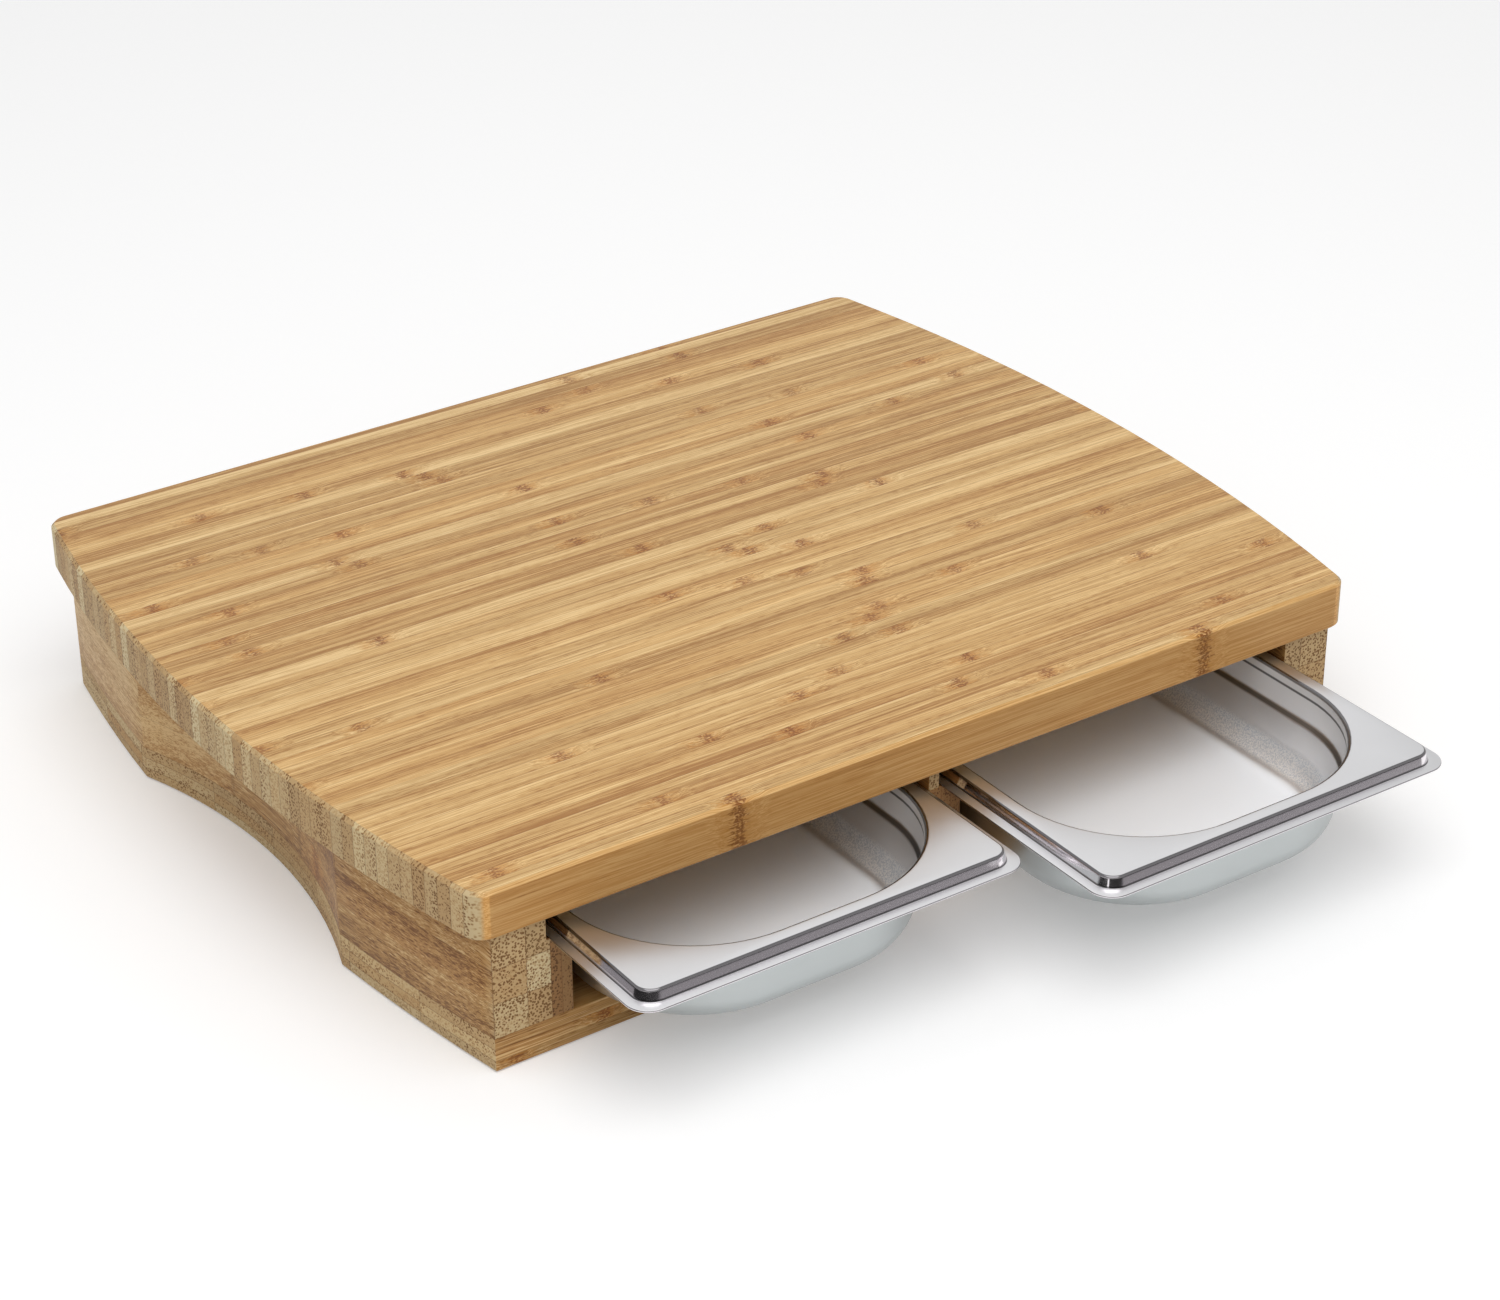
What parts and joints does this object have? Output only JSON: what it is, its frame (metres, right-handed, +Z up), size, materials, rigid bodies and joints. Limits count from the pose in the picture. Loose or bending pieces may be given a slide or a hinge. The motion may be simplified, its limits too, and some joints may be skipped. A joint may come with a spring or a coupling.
{
  "type": "cutting board with drawer trays",
  "caption": "Thick bamboo chopping board on a low case with bowed ends and finger scoops; steel catering trays slide out of the front as drawers.",
  "frame": {"origin": "centre of the underside, where the case rests on the worktop", "axes": "+Z up, +X along the board to the right, -Y out of the front, the way the trays pull out"},
  "size_m": [0.458, 0.459, 0.081],
  "materials": {
    "bamboo_board": "oiled, satin, narrow staves",
    "bamboo_case": "oiled, satin",
    "bamboo_dark": "sanded, carbonised",
    "tongue_wood": "plain sanded",
    "tray_steel": "satin flange and floor, bright rim"
  },
  "bodies": {
    "case": {"top_board": "bamboo_board", "bottom_board": "bamboo_case", "left_side_rail": "bamboo_case", "right_side_rail": "bamboo_case", "left_runner": "bamboo_dark", "right_runner": "bamboo_dark", "divider_block": "bamboo_dark", "divider_rib": "bamboo_case", "back_panel": "bamboo_case", "rail_tongues": "tongue_wood", "back_tongue": "tongue_wood", "base_tongues": "tongue_wood"},
    "left_tray": {"left_tray": "tray_steel"},
    "right_tray": {"right_tray": "tray_steel"}
  },
  "joints": [
    {"name": "left_tray_slide", "type": "slide", "parent": "case", "child": "left_tray", "axis": [0, -1, 0], "range_m": [-0.0765, 0.2225]},
    {"name": "right_tray_slide", "type": "slide", "parent": "case", "child": "right_tray", "axis": [0, -1, 0], "range_m": [-0.1135, 0.1855]}
  ]
}
